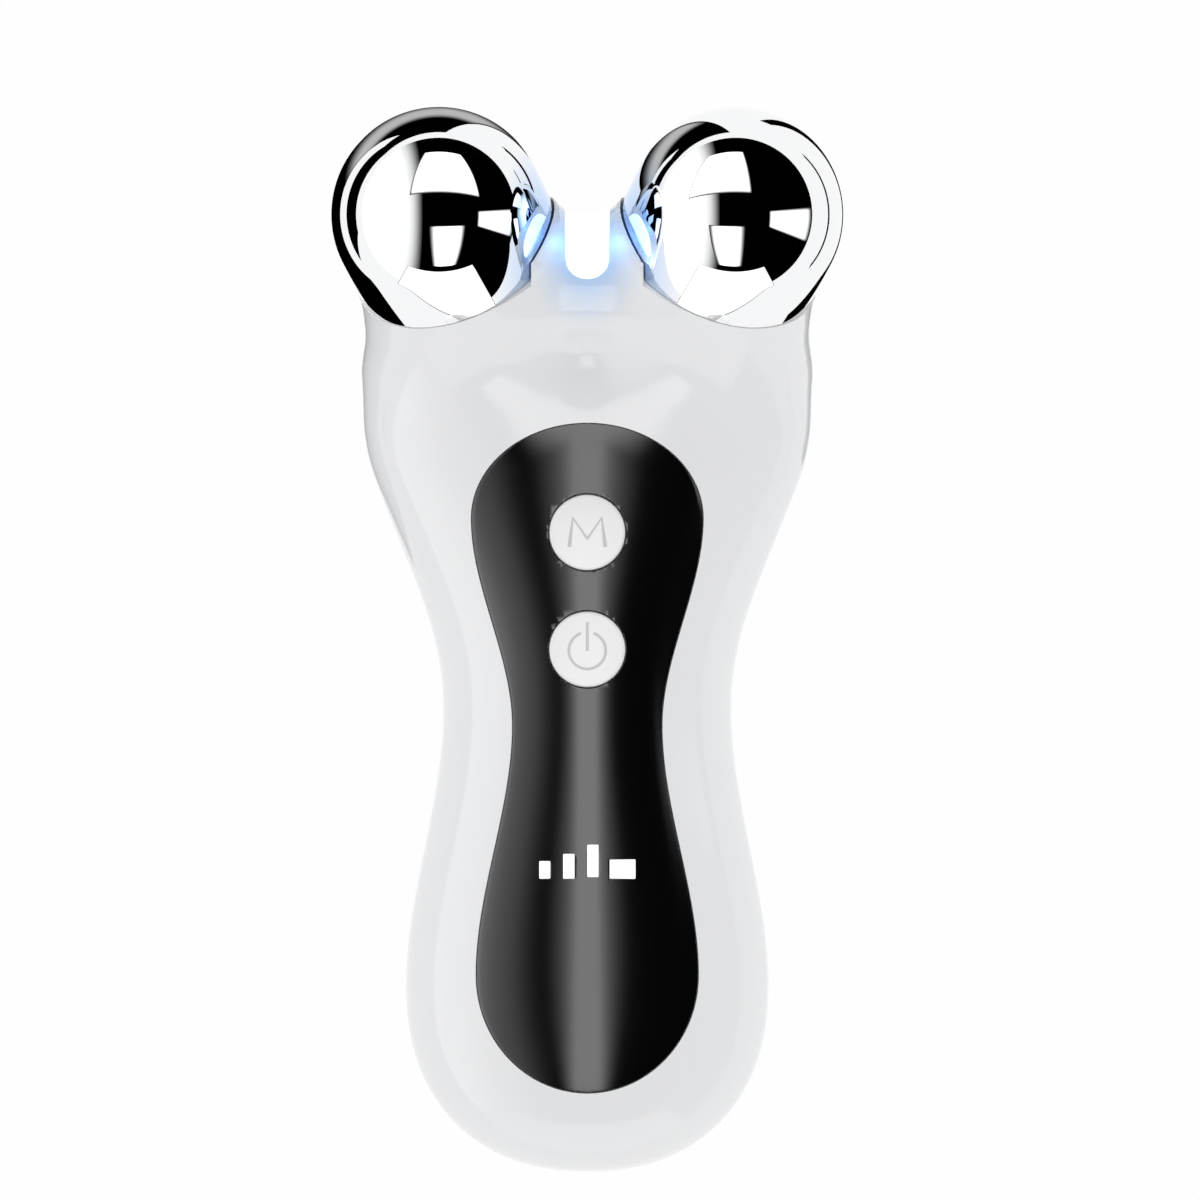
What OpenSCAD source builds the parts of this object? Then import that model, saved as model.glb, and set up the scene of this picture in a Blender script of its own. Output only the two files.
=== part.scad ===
// Facial toning device, lying on its back.
// +Z is up through the front face, +Y points toward the heads, +X is right seen from the front.
// Inside the modules y is the distance from the bottom end and z starts at the full back;
// place() centres the part and sets its rest face at z = 0.

/* [Handle] */
// Width of the handle at its lower swelling
grip_w = 45.4; // [44:0.1:47]
// Distance of the lower swelling from the bottom end
grip_y = 23.4; // [22:0.1:25]
// Width of the waist
waist_w = 36.1; // [35:0.1:38]
// Distance of the waist from the bottom end
waist_y = 57.8; // [56:0.1:60]
// Width across the shoulders
shoulder_w = 56.2; // [55:0.1:58]
// Thickness of the handle, front to back
handle_t = 30; // [29:0.1:32]
// Wall thickness of the covers
wall = 2.4; // [2.2:0.1:2.6]

/* [Heads] */
// Distance of the sphere centres from the bottom end
head_y = 119.7; // [118:0.1:122]
// Spacing of the two sphere centres
head_spacing = 37.06; // [36.8:0.02:38]
// Height of the sphere centres over the rest face
head_z = 31.2; // [31.2:0.1:33]
// Diameter of a head
head_d = 26.86; // [26:0.02:27]
// Lean of the heads toward the front, in degrees
head_lean = 38; // [36:0.5:40]
// Splay of the heads to each side, in degrees
head_splay = 27; // [25:0.5:28]
// Length of the straight part between sphere centre and rim
head_neck = 6.74; // [6:0.02:7.5]

/* [Panel and buttons] */
// Width of the panel's upper lobe
panel_top_w = 28.8; // [27:0.1:30]
// Width of the panel's waist
panel_waist_w = 18.5; // [17.5:0.1:20]
// Width of the panel's lower lobe
panel_low_w = 27.6; // [26:0.1:29]
// Diameter of a button cap
button_d = 9.5; // [9:0.1:10]
// Distance of the mode button from the bottom end
mode_y = 80; // [79.5:0.1:81]
// Distance of the power button from the bottom end
power_y = 65.4; // [64.5:0.1:66]
// Travel of a button
button_travel = 0.4; // [0.3:0.05:0.5]

/* [Light strip] */
// Width of the strip
strip_w = 5.4; // [5:0.1:6]
// Radius of the saddle that the strip follows
saddle_r = 8; // [7.8:0.1:8.4]

/* [Inside] */
// Length of the battery
battery_l = 38; // [34:1:40]
// Width of the battery
battery_w = 20; // [18:0.5:20.5]
// Thickness of the battery
battery_t = 8; // [7:0.5:9]
// Thickness of the circuit boards
board_t = 1.2; // [1:0.1:1.6]

/* [Hidden] */
$fn = 48;

overall_l = head_y + head_d/2;      // the heads are the far end
half_t = handle_t/2;                // parting plane height
head_r = head_d/2;
shoulder_y = 94.9;
slab_y = 100;                       // where the handle passes into the head
neck_y = 95;                        // where the necks of the two heads leave the handle
neck_x = 6;                         // and how far from the middle
root_depth = 20;                    // from a rim to the middle of its round root
rest_cut = 0.3;                     // depth of the flat land on the back
end_n = 2.25;                       // fullness of the bottom end, seen from the front
end_nz = 3.2;                       // the same, seen from the side
sec_n = 2.35;                       // fullness of the cross-section
around = 16;                        // facets across half a section

// Axis of the right head, and the centre of its rim
axis_r = [sin(head_splay)*cos(head_lean), cos(head_splay)*cos(head_lean), sin(head_lean)];
rim_r = [head_spacing/2, head_y, head_z] - head_neck*axis_r;

// Saddle between the heads: a round bar across the middle
saddle_y = head_y - 8.3;
saddle_z = head_z - 3;

// Layers of the front, as depths below its surface
panel_t = 1.0;
tape_t = 0.2;
pocket_t = panel_t + tape_t;

// Panel outline: two lobes with elliptical ends and a waist between
panel_top_y = 81.8;
panel_waist_y = 55.9;
panel_low_y = 24.7;
panel_top_end = 93.56;
panel_low_end = 10.06;

// Board, switches and caps, as heights over the rest face
board_z = half_t + 6.1;             // underside of the main board
board_top = board_z + board_t;
switch_h = 3.5;
plunger_top = board_top + switch_h + 0.5;
cap_z = plunger_top + 0.05;         // underside of a cap
flange_t = 0.5;
flange_d = button_d + 1.2;
cap_top = handle_t + 0.1;

// Sockets for the battery and charging leads, at the lower end of the board
socket_x = 4.2;
socket_y = 31.5;

// Screws
boss_r = 3.2;
case_pts = [[8, 20], [-8, 20], [9.5, 86], [-9.5, 86]];
board_pts = [[0, 90.4], [8.6, 46], [-8.6, 46]];

// Level windows: centre x, lower end, width and height of each
bar_pts = [[-5.3, 36.75, 1.4, 2.2], [-2.3, 36.75, 1.45, 3.1],
           [0.7, 36.95, 1.45, 4.05], [4.4, 36.75, 3.25, 2.4]];

// Fractions and smooth steps
function clamp(t) = min(1, max(0, t));
function smooth(t) = let(u = clamp(t)) u*u*(3 - 2*u);

// Half-width of the handle at distance y from the bottom end, inset by t
function half_w(y, t = 0) =
    let(g = grip_w/2 - t, w = waist_w/2 - t, s = shoulder_w/2 - t)
    y < grip_y
        ? g*pow(max(0, 1 - pow(clamp((grip_y - y)/(grip_y - t)), end_n)), 1/end_n)
        : y < waist_y
            ? g + (w - g)*smooth((y - grip_y)/(waist_y - grip_y))
            : w + (s - w)*smooth(pow(clamp((y - waist_y)/(shoulder_y - waist_y)), 1.1));

// Half-thickness of the handle at y, inset by t
function half_h(y, t = 0) =
    (half_t - t)*pow(max(0, 1 - pow(clamp((grip_y - y)/(grip_y - t)), end_nz)), 1/end_nz);

// Height of the front surface over x, y
function front_z(x, y, t = 0) =
    half_t + half_h(y, t)*pow(max(0, 1 - pow(clamp(abs(x)/half_w(y, t)), sec_n)), 1/sec_n);

// Points of half a section: the front half for side 1, the rear half for side -1
function half_ring(y, t, side, drop, w, h) = concat(
    [for (i = [0:around]) let(a = 180*i/around)
        [w*sign(cos(a))*pow(abs(cos(a)), 2/sec_n), y,
         half_t + side*h*pow(sin(a), 2/sec_n)]],
    drop > 0 ? [[-w, y, half_t - side*drop], [w, y, half_t - side*drop]] : []);

// Stations along the handle: close together round the bottom end
function stations(t) = concat(
    [for (a = [5, 11, 18, 26, 36, 48, 61, 75]) grip_y - (grip_y - t)*cos(a)],
    [for (i = [0:13]) grip_y + (slab_y - grip_y)*i/13]);

// Half of the handle as a closed solid, inset by t; drop carries it past the parting plane
module half_handle(t, side, drop = 0) {
    ys = stations(t);
    k = drop > 0 ? around + 3 : around + 1;
    n = len(ys);
    rings = concat(
        [for (y = ys) each half_ring(y, t, side, drop, half_w(y, t), half_h(y, t))],
        half_ring(slab_y + 1.5, t, side, drop, half_w(slab_y, t) - 1.5, half_h(slab_y, t) - 1.5));
    tip = [[0, t, half_t]];
    walls = [for (i = [0:n - 1], j = [0:k - 1]) let(m = (j + 1) % k)
        each [[i*k + j, i*k + m, (i + 1)*k + m], [i*k + j, (i + 1)*k + m, (i + 1)*k + j]]];
    fan = [for (j = [0:k - 1]) [(j + 1) % k, j, (n + 1)*k]];
    cap = [for (j = [1:k - 2]) [n*k, n*k + j, n*k + j + 1]];
    faces = concat(walls, fan, cap);
    polyhedron(concat(rings, tip),
               side < 0 ? [for (f = faces) [for (i = [len(f) - 1:-1:0]) f[i]]] : faces,
               convexity = 6);
}

// Carries children from a head's own axis (z out of the rim) to the right or left head
module at_head(side) {
    translate([side*rim_r.x, rim_r.y, rim_r.z])
        rotate([head_lean - 90, 0, -side*head_splay]) children();
}

module place() { translate([0, -overall_l/2, -rest_cut]) children(); }

// Full section at the shoulders, as a thin slab
module slab(t) {
    w = half_w(slab_y, t) - 0.1;
    h = half_h(slab_y, t) - 0.1;
    pts = [for (i = [0:2*around - 1]) let(a = 180*i/around)
        [w*sign(cos(a))*pow(abs(cos(a)), 2/sec_n), h*sign(sin(a))*pow(abs(sin(a)), 2/sec_n)]];
    translate([0, slab_y + 0.3, half_t]) rotate([90, 0, 0]) linear_extrude(0.3) polygon(pts);
}

// Outer part of the section at y on one side, as a thin slab, in by d
module side_slab(side, y, d, t) {
    w = half_w(y, t) - d;
    h = half_h(y, t) - d;
    x0 = neck_x + t;
    z0 = h*pow(1 - pow(x0/w, sec_n), 1/sec_n);
    pts = concat([[x0, -z0]],
        [for (i = [1 - around/2:around/2 - 1])
            let(a = 180*i/around, x = w*pow(cos(a), 2/sec_n))
            if (x > x0 + 0.3) [x, h*sign(i)*pow(abs(sin(a)), 2/sec_n)]],
        [[x0, z0]]);
    translate([0, y + 0.3, half_t]) rotate([90, 0, 0]) linear_extrude(0.3)
        scale([side, 1]) polygon(pts);
}

// Head volume on one side: rim disc, round root and shoulder sections
module head_volume(side, t, down) {
    hull() {
        at_head(side) translate([0, 0, -down - 0.4]) cylinder(r = head_r - t, h = 0.4);
        at_head(side) translate([0, 0, -root_depth]) sphere(r = head_r - t, $fn = 24);
        side_slab(side, neck_y, 0.6, t);
        side_slab(side, slab_y, 0.1, t);
    }
}

// Saddle volume between the heads, with a bar for the round end of the back
module saddle_volume(t) {
    hull() {
        translate([-8, saddle_y, saddle_z]) rotate([0, 90, 0]) cylinder(r = saddle_r - t, h = 16);
        translate([-8, 103, 7.2]) rotate([0, 90, 0]) cylinder(r = 6 - t, h = 16, $fn = 32);
        slab(t);
    }
}

module head_shape() {
    head_volume(1, 0, 0);
    head_volume(-1, 0, 0);
    saddle_volume(0);
}

module head_hollow() {
    head_volume(1, wall, 7.5);
    head_volume(-1, wall, 7.5);
    saddle_volume(wall);
}

// Half space over (side 1) or under (side -1) the parting plane
module half_space(side) {
    translate([-50, -10, side > 0 ? half_t : half_t - 100]) cube([100, 160, 100]);
}

// Panel outline, grown by g
function lobe(y, g) =
    let(a = panel_top_w/2 + g, b = panel_waist_w/2 + g, c = panel_low_w/2 + g)
    y > panel_waist_y
        ? b + (a - b)*smooth((y - panel_waist_y)/(panel_top_y - panel_waist_y))
        : b + (c - b)*smooth((panel_waist_y - y)/(panel_waist_y - panel_low_y));

module panel_outline(g = 0) {
    top = [for (a = [0:15:180])
        [(panel_top_w/2 + g)*cos(a), panel_top_y + (panel_top_end - panel_top_y + g)*sin(a)]];
    low = [for (a = [180:15:360])
        [(panel_low_w/2 + g)*cos(a), panel_low_y + (panel_low_y - panel_low_end + g)*sin(a)]];
    ys = [for (i = [1:11]) panel_low_y + (panel_top_y - panel_low_y)*i/12];
    left = [for (i = [10:-1:0]) [-lobe(ys[i], g), ys[i]]];
    right = [for (i = [0:10]) [lobe(ys[i], g), ys[i]]];
    polygon(concat(top, left, low, right));
}

// Layer of the front between depths t0 and t1, inside the panel outline grown by g
module front_layer(t0, t1, g) {
    difference() {
        intersection() {
            translate([0, 0, half_t + 3]) linear_extrude(half_t) panel_outline(g);
            half_handle(t0, 1);
        }
        half_handle(t1, 1, 1);
    }
}

module front_cover() {
    color("white") place() difference() {
        union() {
            difference() {
                union() {
                    half_handle(0, 1);
                    intersection() { head_shape(); half_space(1); }
                }
                half_handle(wall, 1, 1);
                intersection() { head_hollow(); translate([0, 0, -1]) half_space(1); }
                // recess for the panel
                difference() {
                    translate([0, 0, half_t + 3]) linear_extrude(30) panel_outline(0.15);
                    half_handle(pocket_t, 1, 1);
                }
            }
            // screw bosses and board posts, up into the wall
            for (p = case_pts) translate([p.x, p.y, half_t])
                cylinder(r = boss_r, h = front_z(abs(p.x) + boss_r, p.y, 1.5) - half_t);
            for (p = board_pts) translate([p.x, p.y, board_top])
                cylinder(r = 2.2, h = front_z(abs(p.x) + 2.2, p.y, 1.6) - board_top);
        }
        // head sockets and the holes in their floors
        for (s = [-1, 1]) at_head(s) {
            translate([0, 0, 0.02]) cylinder(r = head_r + 0.15, h = 20);
            translate([0, 0, -5.5]) cylinder(r = head_r - wall + 0.3, h = 6);
            translate([0, 0, -9]) cylinder(r = 1.6, h = 9);
            translate([-2, -8.2, -9]) cube([4, 1.8, 9]);
        }
        // button holes
        for (y = [mode_y, power_y]) translate([0, y, half_t]) cylinder(d = button_d + 0.7, h = 20);
        // level windows
        for (b = bar_pts) translate([b[0] - b[2]/2 - 0.1, b[1] - 0.1, half_t])
            cube([b[2] + 0.2, b[3] + 0.2, 20]);
        // screw seats and pilot holes
        for (p = case_pts) translate([p.x, p.y, half_t - 1]) {
            cylinder(r = 1.5, h = 30);
            translate([0, 0, 9]) cylinder(r = 2.3, h = 20);
        }
        for (p = board_pts) translate([p.x, p.y, board_top - 1]) cylinder(r = 0.95, h = 4.6);
        strip_channel();
        port_cut();
    }
}

module rear_cover() {
    color("white") place() difference() {
        union() {
            difference() {
                union() {
                    half_handle(0, -1);
                    intersection() { head_shape(); half_space(-1); }
                }
                half_handle(wall, -1, 1);
                intersection() { head_hollow(); translate([0, 0, 1]) half_space(-1); }
            }
            for (p = case_pts) translate([p.x, p.y, 1.4]) cylinder(r = boss_r, h = half_t - 1.4);
            // battery ribs and charge board ledge
            for (y = [29, 43, 57]) translate([-8, y, 1.2]) cube([16, 2, rib_z - 1.2]);
            translate([-6, 9, 1.2]) cube([12, 2, charge_z - 1.2]);
        }
        for (p = case_pts) translate([p.x, p.y, 4]) cylinder(r = 1.25, h = 20);
        // rest face
        translate([-40, -5, -5]) cube([80, 130, 5 + rest_cut]);
        port_cut();
    }
}

// Charging port, centred on the parting plane at the bottom end
charge_z = half_t - 2.8;            // underside of the charge board
port_w = 9.0;
port_h = 3.2;

module pill(w, h, l) {
    rotate([90, 0, 0]) mirror([0, 0, 1]) linear_extrude(l) {
        square([w - h, h], center = true);
        for (s = [-1, 1]) translate([s*(w - h)/2, 0]) circle(d = h);
    }
}

module port_cut() {
    translate([0, -2, half_t]) pill(port_w + 0.6, port_h + 0.6, 8);
}

// Groove over the saddle for the light strip
module strip_profile(grow) {
    w = strip_w + 2*grow;
    end_y = saddle_y + strip_w/2 + 0.3;
    linear_extrude(60) {
        translate([-w/2, end_y]) square([w, 30]);
        translate([0, end_y]) circle(d = w);
    }
}

module strip_ring(r0, r1, w, from = 60, turn = 130) {
    translate([-w/2, saddle_y, saddle_z]) rotate([0, 90, 0]) rotate([0, 0, from])
        rotate_extrude(angle = turn) translate([r0, 0]) square([r1 - r0, w]);
}

module strip_body(grow) {
    intersection() {
        strip_ring(saddle_r - 1.6 - grow, saddle_r + 0.15 + 3*grow, strip_w + 1);
        strip_profile(grow);
    }
}

// The groove, with a window in its floor for the light
module strip_channel() {
    strip_body(0.1);
    strip_ring(saddle_r - 3.4, saddle_r - 1, strip_w - 2, from = 75, turn = 85);
}

module control_panel() {
    color([0.05, 0.05, 0.06]) place() difference() {
        front_layer(0, panel_t, 0);
        for (y = [mode_y, power_y]) translate([0, y, half_t]) cylinder(d = button_d + 0.6, h = 20);
        for (b = bar_pts) translate([b[0] - b[2]/2 - 0.05, b[1] - 0.05, half_t])
            cube([b[2] + 0.1, b[3] + 0.1, 20]);
    }
}

module panel_tape() {
    color([0.75, 0.72, 0.6]) place() difference() {
        front_layer(panel_t, pocket_t, -0.4);
        for (y = [mode_y, power_y]) translate([0, y, half_t]) cylinder(d = button_d + 1.6, h = 20);
        for (p = case_pts) translate([p.x, p.y, half_t]) cylinder(r = 2.6, h = 20);
        translate([-6.6, 36, half_t]) cube([13.2, 5.8, 20]);
    }
}

module button_cap(y) {
    translate([0, y, cap_z]) difference() {
        union() {
            cylinder(d = flange_d, h = flange_t);
            cylinder(d = button_d, h = cap_top - cap_z - 0.4);
            translate([0, 0, cap_top - cap_z - 0.4])
                cylinder(d1 = button_d, d2 = button_d - 0.8, h = 0.4);
        }
        // hollow underside, with a centre pad for the plunger
        translate([0, 0, -1]) difference() {
            cylinder(d = button_d - 2.4, h = 2.4);
            cylinder(d = 4.2, h = 3);
        }
    }
}

module mode_button() { color("white") place() button_cap(mode_y); }
module power_button() { color("white") place() button_cap(power_y); }

module switch_body(y) {
    translate([0, y, board_top]) difference() {
        translate([-3, -3, 0]) cube([6, 6, switch_h]);
        translate([0, 0, 0.8]) cylinder(d = 3.6, h = 5);
    }
}

module plunger(y) {
    translate([0, y, plunger_top - 2.2]) cylinder(d = 3.45, h = 2.2);
}

module mode_switch() { color([0.2, 0.2, 0.22]) place() switch_body(mode_y); }
module power_switch() { color([0.2, 0.2, 0.22]) place() switch_body(power_y); }
module mode_plunger() { color([0.75, 0.6, 0.2]) place() plunger(mode_y); }
module power_plunger() { color([0.75, 0.6, 0.2]) place() plunger(power_y); }

module level_lenses() {
    color([0.95, 0.97, 1]) place() for (b = bar_pts)
        translate([b[0] - b[2]/2, b[1], board_top + 1.6])
            cube([b[2], b[3], front_z(b[0], b[1] + b[3]/2) - board_top - 1.6]);
}

module level_leds() {
    color([0.95, 0.9, 0.6]) place() for (b = bar_pts)
        translate([b[0] - 0.6, b[1] + b[3]/2 - 0.8, board_top]) cube([1.2, 1.6, 0.7]);
}

module light_strip() { color([0.85, 0.93, 1]) place() strip_body(0); }

// Small board behind the strip, facing up and forward
module light_frame() {
    translate([0, saddle_y, saddle_z]) rotate([-45, 0, 0]) children();
}

module light_board() {
    color([0.1, 0.35, 0.2]) place() light_frame()
        translate([-2.6, -4.2, 1.6]) cube([5.2, 8.4, 1]);
}

module light_leds() {
    color([0.6, 0.75, 1]) place() light_frame() for (y = [-2.6, 0, 2.6])
        translate([-0.8, y - 0.5, 2.6]) cube([1.6, 1, 0.7]);
}

module electrode(side) {
    color("silver") place() at_head(side) difference() {
        union() {
            translate([0, 0, head_neck]) sphere(r = head_r, $fn = 96);
            cylinder(r = head_r, h = head_neck, $fn = 96);
            translate([0, 0, -5]) cylinder(r = head_r - wall + 0.1, h = 5.5);
        }
        // the sphere's lower half is cut off flat at the rim
        translate([0, 0, -20 - 5]) cylinder(r = 20, h = 20);
        translate([0, 0, -5]) difference() {
            cylinder(r = 20, h = 5);
            translate([0, 0, -1]) cylinder(r = head_r - wall + 0.1, h = 7);
        }
        // hollow, with a centre post for the screw
        difference() {
            union() {
                translate([0, 0, head_neck]) sphere(r = head_r - 1.6);
                translate([0, 0, -6]) cylinder(r = head_r - wall - 1.6, h = 6 + head_neck);
            }
            translate([0, 0, -7]) cylinder(r = 3.4, h = 30);
        }
        translate([0, 0, -6]) cylinder(r = 1.25, h = 12);
        // groove for the seal ring
        translate([0, 0, -2.9]) difference() {
            cylinder(r = 14, h = 1.2);
            translate([0, 0, -1]) cylinder(r = head_r - wall - 0.55, h = 4);
        }
    }
}

module left_electrode() { electrode(-1); }
module right_electrode() { electrode(1); }

module electrode_screws() {
    color([0.6, 0.6, 0.62]) place() for (s = [-1, 1]) at_head(s) {
        translate([0, 0, -9.3]) cylinder(r = 2.6, h = 1.8);
        translate([0, 0, -8]) cylinder(r = 1.2, h = 12);
    }
}

// Ring tab between a head's post and the socket floor, with a tail through the floor
module contact_tabs() {
    color([0.8, 0.65, 0.3]) place() for (s = [-1, 1]) at_head(s) difference() {
        union() {
            translate([0, 0, -5.5]) cylinder(r = 3.2, h = 0.5);
            translate([-1.5, -7.6, -5.5]) cube([3, 7, 0.5]);
            translate([-1.5, -7.6, -11]) cube([3, 0.5, 6]);
        }
        translate([0, 0, -7]) cylinder(r = 1.25, h = 3);
    }
}

module seal_rings() {
    color([0.15, 0.15, 0.15]) place() for (s = [-1, 1]) at_head(s)
        translate([0, 0, -2.3]) rotate_extrude() translate([head_r - wall - 0.13, 0]) circle(r = 0.4);
}

// Board outline: follows the handle inside the covers
function board_w(y) = 0.8*(half_w(y) - wall) - 0.8;

module main_board() {
    y0 = 30;
    y1 = 94;
    n = 16;
    ys = [for (i = [0:n]) y0 + (y1 - y0)*i/n];
    color([0.08, 0.35, 0.2]) place() translate([0, 0, board_z]) difference() {
        linear_extrude(board_t) polygon(concat(
            [for (y = ys) [board_w(y), y]],
            [for (i = [n:-1:0]) [-board_w(ys[i]), ys[i]]]));
        for (p = case_pts) translate([p.x, p.y, -1]) cylinder(r = boss_r + 0.3, h = 4);
        for (p = board_pts) translate([p.x, p.y, -1]) cylinder(r = 1.15, h = 4);
    }
}

module controller_chip() {
    color([0.12, 0.12, 0.13]) place() {
        translate([-3.5, 50, board_top]) cube([7, 7, 1]);
        translate([-11, 70, board_z - 1.2]) cube([5, 4, 1.2]);
    }
}

module boost_coil() {
    color([0.3, 0.28, 0.27]) place() {
        translate([0, 74, board_z - 4.5]) cylinder(d = 9, h = 4.5);
        translate([8, 66, board_z - 3.5]) cylinder(d = 6, h = 3.5);
    }
}

module lead_sockets() {
    color("ivory") place() {
        for (s = [-1, 1]) translate([s*7 - 2, 89.6, board_z - 3]) cube([4, 4, 3]);
        translate([-2.5, 84, board_z - 3]) cube([5, 4, 3]);
        for (s = [-1, 1]) translate([s*socket_x - 2.5, socket_y, board_z - 3]) cube([5, 4, 3]);
    }
}

module board_screws() {
    color([0.6, 0.6, 0.62]) place() for (p = board_pts) translate([p.x, p.y, 0]) {
        translate([0, 0, board_z - 1.4]) cylinder(r = 2, h = 1.4);
        translate([0, 0, board_z - 0.5]) cylinder(r = 0.9, h = 4.4);
    }
}

module case_screws() {
    color([0.6, 0.6, 0.62]) place() for (p = case_pts) translate([p.x, p.y, 0]) {
        translate([0, 0, half_t + 8]) cylinder(r = 2.1, h = 1.8);
        translate([0, 0, half_t - 6]) cylinder(r = 1.2, h = 14.5);
    }
}

battery_z = 5;                      // underside of the battery
battery_y = 44;                     // middle of the battery
battery_end = battery_y - battery_l/2;
rib_z = 4;                          // top of the ribs that carry it

module battery() {
    color([0.55, 0.6, 0.7]) place() translate([-battery_w/2, battery_end, battery_z])
        cube([battery_w, battery_l, battery_t]);
}

module battery_pad() {
    color([0.25, 0.25, 0.27]) place() translate([-7.5, battery_end + 3, rib_z])
        cube([15, battery_l - 6, battery_z - rib_z]);
}

module charge_board() {
    color([0.08, 0.35, 0.2]) place() translate([-7, 4.4, charge_z]) cube([14, 11, board_t]);
}

module charge_port() {
    color("silver") place() difference() {
        translate([0, 0.7, half_t]) pill(port_w, port_h, 7.3);
        translate([0, 0.2, half_t]) pill(port_w - 0.7, port_h - 0.7, 6.8);
    }
    color([0.1, 0.1, 0.1]) place() translate([-3.3, 1.6, half_t - 0.35]) cube([6.6, 5.6, 0.7]);
}

touch = 0.05;                       // from a wire's end to what it is soldered to

// Wire of radius r through a list of points, with round joints
module wire(pts, r) {
    for (i = [0:len(pts) - 2]) let(d = pts[i + 1] - pts[i], l = norm(d)) {
        translate(pts[i]) rotate([0, acos(d.z/l), atan2(d.y, d.x)]) cylinder(r = r, h = l, $fn = 16);
        if (i > 0) translate(pts[i]) sphere(r = 1.15*r, $fn = 24);
    }
}

// A point given on a head's own axes, in the part's frame
function head_point(side, p) =
    let(a = 90 - head_lean,
        q = [p.x, p.y*cos(a) + p.z*sin(a), -p.y*sin(a) + p.z*cos(a)],
        b = head_splay)
    [side*(rim_r.x + q.x*cos(b) + q.y*sin(b)), rim_r.y - q.x*sin(b) + q.y*cos(b), rim_r.z + q.z];

module electrode_leads() {
    color([0.8, 0.1, 0.1]) place() for (s = [-1, 1])
        wire([head_point(s, [0, -7.35, -11]), head_point(s, [0, -7.35, -13]),
              [s*7, 97, board_z - 1.5], [s*7, 93.6 + touch, board_z - 1.5]], 0.5);
}

module light_lead() {
    color([0.9, 0.9, 0.9]) place()
        wire([[0, saddle_y + 1, saddle_z + 1], [0, saddle_y - 3, saddle_z - 3.5],
              [0, 99, board_z - 3], [0, 88 + touch, board_z - 2.2]], 0.5);
}

module battery_lead() {
    color([0.7, 0.1, 0.1]) place()
        wire([[-socket_x, battery_end - touch, battery_z + battery_t/2],
              [-socket_x, battery_end - 1.8, battery_z + battery_t/2],
              [-socket_x, battery_end - 2.6, battery_z + battery_t/2 + 2],
              [-socket_x, battery_end, board_z - 1.5], [-socket_x, socket_y - touch, board_z - 1.5]], 0.5);
}

module charge_lead() {
    color([0.1, 0.1, 0.1]) place()
        wire([[4, 15.4 + touch, charge_z + 0.6], [4, 18, charge_z + 1],
              [socket_x, socket_y - 7, board_z - 1.5], [socket_x, socket_y - touch, board_z - 1.5]], 0.5);
}

front_cover();
rear_cover();
control_panel();
panel_tape();
mode_button();
power_button();
mode_switch();
power_switch();
mode_plunger();
power_plunger();
level_lenses();
level_leds();
light_strip();
light_board();
light_leds();
left_electrode();
right_electrode();
electrode_screws();
contact_tabs();
seal_rings();
main_board();
controller_chip();
boost_coil();
lead_sockets();
board_screws();
case_screws();
battery();
battery_pad();
charge_board();
charge_port();
electrode_leads();
light_lead();
battery_lead();
charge_lead();
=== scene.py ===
"""Facial toning device: smooth covers, panel, caps, heads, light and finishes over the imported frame."""

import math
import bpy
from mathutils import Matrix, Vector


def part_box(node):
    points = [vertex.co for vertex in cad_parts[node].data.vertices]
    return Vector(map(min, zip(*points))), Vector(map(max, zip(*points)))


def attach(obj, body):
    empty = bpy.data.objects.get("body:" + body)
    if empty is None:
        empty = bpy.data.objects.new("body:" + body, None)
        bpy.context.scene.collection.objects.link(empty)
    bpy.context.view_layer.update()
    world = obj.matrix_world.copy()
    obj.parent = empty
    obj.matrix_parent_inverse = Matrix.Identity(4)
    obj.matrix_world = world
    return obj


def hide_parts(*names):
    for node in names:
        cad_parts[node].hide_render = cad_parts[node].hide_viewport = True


bl_info = {
    "name": "Facial toning device",
    "version": (1, 0, 0),
    "blender": (4, 5, 0),
    "location": "3D View > Sidebar > Toning device",
    "description": "Builds the covers, panel, buttons, heads and finishes of a facial toning device",
    "category": "Object",
}

import bpy
import numpy as np
from mathutils import Matrix, Vector

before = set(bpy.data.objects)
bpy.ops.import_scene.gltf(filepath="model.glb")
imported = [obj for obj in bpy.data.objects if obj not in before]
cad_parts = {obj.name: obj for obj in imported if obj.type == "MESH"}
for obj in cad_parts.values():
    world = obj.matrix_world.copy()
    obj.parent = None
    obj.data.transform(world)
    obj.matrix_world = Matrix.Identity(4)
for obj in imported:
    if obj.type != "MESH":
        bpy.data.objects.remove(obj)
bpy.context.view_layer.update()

MM = 0.001
LENGTH = 133.13          # bottom end to the far side of the heads, in mm
REST_CUT = 0.3           # depth of the flat land on the back
HALF_T = 15.0            # height of the parting plane over the full back
LEAN, SPLAY = math.radians(38), math.radians(27)
AXIS = np.array([math.sin(SPLAY) * math.cos(LEAN), math.cos(SPLAY) * math.cos(LEAN), math.sin(LEAN)])
HEAD_R = 13.43
HEAD_NECK = 6.74
HEAD = np.array([18.53, 119.7, 31.2])
RIM = HEAD - HEAD_NECK * AXIS
SADDLE = (111.4, 28.2)
SADDLE_R = 8.0
SOCKET_FLOOR = 7.9       # from a rim down to the space inside
MODE_Y, POWER_Y = 80.0, 65.4
BOSSES = ((8, 20), (-8, 20), (9.5, 86), (-9.5, 86))
CAP_TOP = 30.1
BARS = ((-5.3, 36.75, 1.4, 2.2), (-2.3, 36.75, 1.45, 3.1), (0.7, 36.95, 1.45, 4.05), (4.4, 36.75, 3.25, 2.4))


# ---------------- settings

def length_mm(name, description, default):
    return bpy.props.FloatProperty(name=name, description=description, default=default * MM,
                                   subtype="DISTANCE", unit="LENGTH", precision=5)


def colour(name, description, default):
    return bpy.props.FloatVectorProperty(name=name, description=description, default=default,
                                         subtype="COLOR", size=3, min=0, max=1)


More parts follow.
